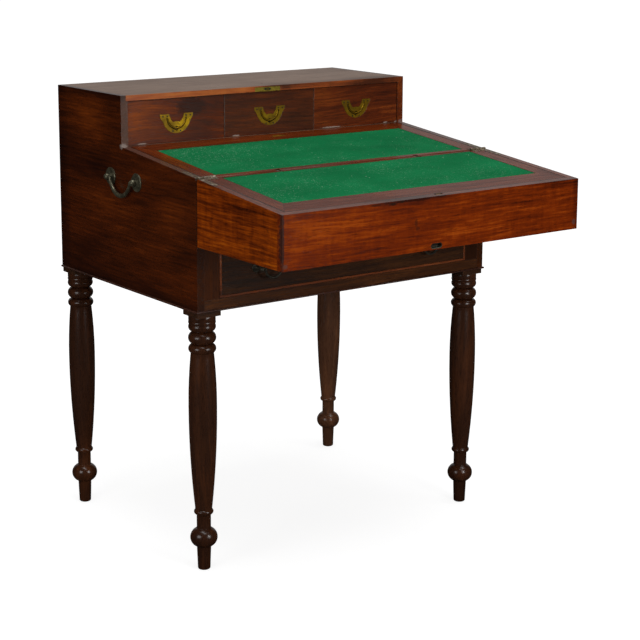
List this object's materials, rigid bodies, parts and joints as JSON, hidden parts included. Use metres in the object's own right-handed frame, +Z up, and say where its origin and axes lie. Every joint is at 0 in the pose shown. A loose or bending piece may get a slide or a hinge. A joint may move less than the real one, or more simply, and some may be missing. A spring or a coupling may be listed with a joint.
{
  "type": "campaign desk",
  "caption": "Portable writing desk on turned legs: sloped baize leaves, hollow flap that folds shut over them, small drawers above, long drawer below, flush brass handles.",
  "frame": {"origin": "middle of the floor footprint of the desk with its flap open, at floor level", "axes": "+X to the sitter's right, +Y from the sitter towards the back of the desk, +Z up"},
  "size_m": [0.7444, 0.8034, 0.902],
  "materials": {
    "case_mahogany": "french polish, aged",
    "front_mahogany": "french polish, aged and dark",
    "flap_mahogany": "french polish, lighter where it was handled",
    "top_mahogany": "worn polish",
    "leaf_mahogany": "worn polish",
    "bead_mahogany": "polished beads, rubbed on the edges",
    "leg_mahogany": "dark polish",
    "secondary_wood": "bare, unpolished",
    "baize": "green woven baize",
    "brass": "worn, lacquer gone",
    "patinated_brass": "dark patina",
    "steel": "dull steel"
  },
  "bodies": {
    "case": {"case_side_left": "case_mahogany", "case_side_right": "case_mahogany", "case_back": "secondary_wood", "top_board": "top_mahogany", "drawer_deck": "secondary_wood", "drawer_dividers": "case_mahogany", "dustboard": "secondary_wood", "floor_board": "secondary_wood", "drawer_runners": "secondary_wood", "front_panel": "front_mahogany", "front_stiles": "front_mahogany", "front_rail": "front_mahogany", "base_bead": "bead_mahogany", "leg_blocks": "leg_mahogany", "leg_front_left": "leg_mahogany", "leg_front_right": "leg_mahogany", "leg_rear_left": "leg_mahogany", "leg_rear_right": "leg_mahogany", "lock_case": "brass", "hinge_plates_case": "brass", "hinge_pins": "brass", "rear_leaf_pivots": "brass", "carry_plates": "patinated_brass"},
    "flap": {"flap_back": "flap_mahogany", "flap_front": "flap_mahogany", "flap_side_left": "flap_mahogany", "flap_side_right": "flap_mahogany", "flap_panel": "secondary_wood", "hinge_plates_flap": "brass", "lock_strike": "brass", "front_leaf_pivots": "brass", "front_catch": "brass"},
    "rear_leaf": {"rear_leaf": "leaf_mahogany", "rear_baize": "baize", "rear_catch": "brass"},
    "front_leaf": {"front_leaf": "leaf_mahogany", "front_baize": "baize"},
    "drawer_left": {"drawer_left_front": "front_mahogany", "drawer_left_box": "secondary_wood", "drawer_left_handle": "brass"},
    "drawer_left_bail": {"drawer_left_bail": "brass"},
    "drawer_centre": {"drawer_centre_front": "front_mahogany", "drawer_centre_box": "secondary_wood", "drawer_centre_handle": "brass"},
    "drawer_centre_bail": {"drawer_centre_bail": "brass"},
    "drawer_right": {"drawer_right_front": "front_mahogany", "drawer_right_box": "secondary_wood", "drawer_right_handle": "brass"},
    "drawer_right_bail": {"drawer_right_bail": "brass"},
    "long_drawer": {"long_drawer_front": "front_mahogany", "long_drawer_box": "secondary_wood", "long_drawer_bead": "bead_mahogany", "long_drawer_handles": "patinated_brass", "long_drawer_nuts": "patinated_brass"},
    "long_drawer_bail_left": {"long_drawer_bail_left": "patinated_brass"},
    "long_drawer_bail_right": {"long_drawer_bail_right": "patinated_brass"},
    "carry_bail_left": {"carry_bail_left": "patinated_brass"},
    "carry_bail_right": {"carry_bail_right": "patinated_brass"},
    "lock_bolt": {"lock_bolt": "steel"}
  },
  "joints": [
    {"name": "flap_fold", "type": "hinge", "parent": "case", "child": "flap", "pos_m": [0, -0.1295, 0.77365], "axis": [1, 0, 0], "range_deg": [-180, 0]},
    {"name": "rear_leaf_lift", "type": "hinge", "parent": "case", "child": "rear_leaf", "pos_m": [0, -0.12446, 0.76959], "axis": [1, 0, 0], "range_deg": [0, 90]},
    {"name": "front_leaf_lift", "type": "hinge", "parent": "flap", "child": "front_leaf", "pos_m": [0, -0.13361, 0.76865], "axis": [-1, 0, 0], "range_deg": [0, 90]},
    {"name": "drawer_left_slide", "type": "slide", "parent": "case", "child": "drawer_left", "axis": [0, -1, 0], "range_m": [0, 0.18]},
    {"name": "drawer_left_bail_swing", "type": "hinge", "parent": "drawer_left", "child": "drawer_left_bail", "pos_m": [-0.227, 0.14773, 0.8482], "axis": [-1, 0, 0], "range_deg": [0, 90]},
    {"name": "drawer_centre_slide", "type": "slide", "parent": "case", "child": "drawer_centre", "axis": [0, -1, 0], "range_m": [0, 0.18]},
    {"name": "drawer_centre_bail_swing", "type": "hinge", "parent": "drawer_centre", "child": "drawer_centre_bail", "pos_m": [0, 0.14773, 0.8482], "axis": [-1, 0, 0], "range_deg": [0, 90]},
    {"name": "drawer_right_slide", "type": "slide", "parent": "case", "child": "drawer_right", "axis": [0, -1, 0], "range_m": [0, 0.18]},
    {"name": "drawer_right_bail_swing", "type": "hinge", "parent": "drawer_right", "child": "drawer_right_bail", "pos_m": [0.227, 0.14773, 0.8482], "axis": [-1, 0, 0], "range_deg": [0, 90]},
    {"name": "long_drawer_slide", "type": "slide", "parent": "case", "child": "long_drawer", "axis": [0, -1, 0], "range_m": [0, 0.38]},
    {"name": "long_drawer_bail_left_swing", "type": "hinge", "parent": "long_drawer", "child": "long_drawer_bail_left", "pos_m": [-0.196, -0.14847, 0.5905], "axis": [-1, 0, 0], "range_deg": [-60, 180]},
    {"name": "long_drawer_bail_right_swing", "type": "hinge", "parent": "long_drawer", "child": "long_drawer_bail_right", "pos_m": [0.196, -0.14847, 0.5905], "axis": [-1, 0, 0], "range_deg": [-60, 180]},
    {"name": "carry_bail_left_swing", "type": "hinge", "parent": "case", "child": "carry_bail_left", "pos_m": [-0.3654, 0.13653, 0.738], "axis": [0, 1, 0], "range_deg": [-7, 187]},
    {"name": "carry_bail_right_swing", "type": "hinge", "parent": "case", "child": "carry_bail_right", "pos_m": [0.3654, 0.13653, 0.738], "axis": [0, -1, 0], "range_deg": [-7, 187]},
    {"name": "lock_bolt_throw", "type": "slide", "parent": "case", "child": "lock_bolt", "axis": [0, -1, 0], "range_m": [0, 0.006]}
  ]
}
